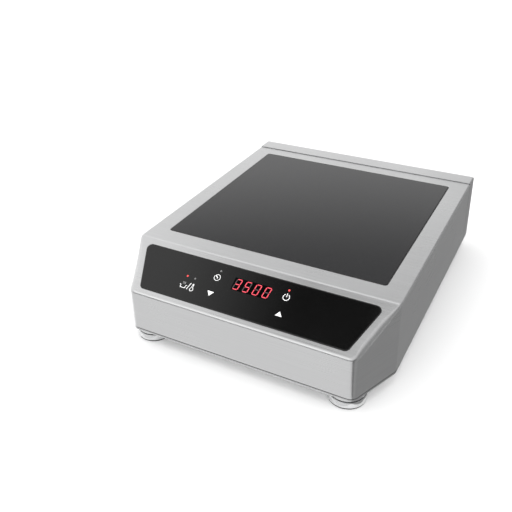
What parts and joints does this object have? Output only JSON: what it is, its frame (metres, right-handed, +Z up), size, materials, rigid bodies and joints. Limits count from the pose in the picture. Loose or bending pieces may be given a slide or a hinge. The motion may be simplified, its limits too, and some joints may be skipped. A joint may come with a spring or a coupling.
{
  "type": "induction hob",
  "caption": "Countertop induction hob: stainless housing with black glass cooking surface, sloped touch panel, rear louvres, internal coil and fans, and adjustable feet.",
  "frame": {"origin": "on the surface that the feet stand on, at the centre of the bounding box in plan", "axes": "+X to the right as seen from the control panel, +Y from the control panel to the rear, +Z up"},
  "size_m": [0.34, 0.431, 0.1103],
  "materials": {
    "brushed_steel": "stainless sheet with a fine lengthwise brushed grain",
    "turned_steel": "turned and polished stainless steel",
    "cooking_glass": "opaque black glass-ceramic, polished",
    "control_glass": "opaque black printed glass, polished",
    "silicone": "black silicone sealant, satin",
    "foot_rubber": "black rubber, matt",
    "black_plastic": "black moulded plastic",
    "former_plastic": "pale heat-resistant moulded plastic",
    "litz_copper": "enamelled copper wire",
    "ferrite": "sintered ferrite, matt",
    "mica": "pressed mica sheet",
    "sensor_metal": "drawn aluminium cap",
    "aluminium_sheet": "mill-finish aluminium sheet",
    "heatsink_aluminium": "extruded aluminium",
    "circuit_board": "green solder mask",
    "component_black": "black moulded epoxy",
    "film_yellow": "yellow film capacitor case",
    "lens_red": "red indicator lens",
    "lens_clear": "unlit indicator lens",
    "lead_silicone": "silicone-sleeved wire",
    "ribbon_vinyl": "grey vinyl flat cable"
  },
  "bodies": {
    "root": {"upper_housing": "brushed_steel", "rear_cover": "brushed_steel", "base_tray": "brushed_steel", "cooking_glass": "cooking_glass", "glass_seal": "silicone", "control_glass": "control_glass", "control_gasket": "silicone", "cable_gland": "black_plastic", "rear_screw_1": "turned_steel", "rear_screw_2": "turned_steel", "rear_screw_3": "turned_steel", "rear_screw_4": "turned_steel", "foot_collar_front_left": "turned_steel", "foot_collar_front_right": "turned_steel", "foot_collar_rear_left": "turned_steel", "foot_collar_rear_right": "turned_steel", "coil_former": "former_plastic", "coil_winding": "litz_copper", "mica_sheet": "mica", "temperature_sensor": "sensor_metal", "sensor_spring": "turned_steel", "coil_bridge": "aluminium_sheet", "fan_frame_left": "black_plastic", "fan_frame_right": "black_plastic", "power_board": "circuit_board", "heatsink": "heatsink_aluminium", "bridge_rectifier": "component_black", "power_transistor": "component_black", "filter_choke": "litz_copper", "resonant_capacitor": "film_yellow", "filter_capacitor": "film_yellow", "terminal_block": "former_plastic", "control_bracket": "black_plastic", "control_board": "circuit_board", "display_module": "component_black", "power_led": "lens_red", "pan_led": "lens_red", "timer_led": "lens_clear", "temperature_led": "lens_clear", "coil_lead_outer": "lead_silicone", "coil_lead_inner": "lead_silicone", "ribbon_cable": "ribbon_vinyl", "gland_nut": "black_plastic", "ferrite_bar_1": "ferrite", "ferrite_bar_2": "ferrite", "ferrite_bar_3": "ferrite", "ferrite_bar_4": "ferrite", "ferrite_bar_5": "ferrite", "ferrite_bar_6": "ferrite"},
    "foot_pad_front_left": {"foot_pad_front_left": "foot_rubber"},
    "foot_stud_front_left": {"foot_stud_front_left": "turned_steel"},
    "foot_pad_front_right": {"foot_pad_front_right": "foot_rubber"},
    "foot_stud_front_right": {"foot_stud_front_right": "turned_steel"},
    "foot_pad_rear_left": {"foot_pad_rear_left": "foot_rubber"},
    "foot_stud_rear_left": {"foot_stud_rear_left": "turned_steel"},
    "foot_pad_rear_right": {"foot_pad_rear_right": "foot_rubber"},
    "foot_stud_rear_right": {"foot_stud_rear_right": "turned_steel"},
    "fan_rotor_left": {"fan_rotor_left": "black_plastic"},
    "fan_rotor_right": {"fan_rotor_right": "black_plastic"}
  },
  "joints": [
    {"name": "foot_lift_front_left", "type": "slide", "parent": "root", "child": "foot_pad_front_left", "axis": [0, 0, -1], "range_m": [0, 0.01]},
    {"name": "foot_turn_front_left", "type": "hinge", "parent": "foot_pad_front_left", "child": "foot_stud_front_left", "pos_m": [-0.129, -0.1915, 0], "axis": [0, 0, -1], "range_deg": [0, 2880]},
    {"name": "foot_lift_front_right", "type": "slide", "parent": "root", "child": "foot_pad_front_right", "axis": [0, 0, -1], "range_m": [0, 0.01]},
    {"name": "foot_turn_front_right", "type": "hinge", "parent": "foot_pad_front_right", "child": "foot_stud_front_right", "pos_m": [0.129, -0.1915, 0], "axis": [0, 0, -1], "range_deg": [0, 2880]},
    {"name": "foot_lift_rear_left", "type": "slide", "parent": "root", "child": "foot_pad_rear_left", "axis": [0, 0, -1], "range_m": [0, 0.01]},
    {"name": "foot_turn_rear_left", "type": "hinge", "parent": "foot_pad_rear_left", "child": "foot_stud_rear_left", "pos_m": [-0.129, 0.1785, 0], "axis": [0, 0, -1], "range_deg": [0, 2880]},
    {"name": "foot_lift_rear_right", "type": "slide", "parent": "root", "child": "foot_pad_rear_right", "axis": [0, 0, -1], "range_m": [0, 0.01]},
    {"name": "foot_turn_rear_right", "type": "hinge", "parent": "foot_pad_rear_right", "child": "foot_stud_rear_right", "pos_m": [0.129, 0.1785, 0], "axis": [0, 0, -1], "range_deg": [0, 2880]},
    {"name": "fan_spin_left", "type": "hinge", "parent": "root", "child": "fan_rotor_left", "pos_m": [-0.055, -0.0805, 0.03], "axis": [0, 0, 1], "continuous": true},
    {"name": "fan_spin_right", "type": "hinge", "parent": "root", "child": "fan_rotor_right", "pos_m": [0.055, -0.0805, 0.03], "axis": [0, 0, 1], "continuous": true}
  ],
  "couplings": [
    {"joint": "foot_lift_front_left", "follows": "foot_turn_front_left", "m_per_rad": 0.00019894},
    {"joint": "foot_lift_front_right", "follows": "foot_turn_front_right", "m_per_rad": 0.00019894},
    {"joint": "foot_lift_rear_left", "follows": "foot_turn_rear_left", "m_per_rad": 0.00019894},
    {"joint": "foot_lift_rear_right", "follows": "foot_turn_rear_right", "m_per_rad": 0.00019894}
  ]
}
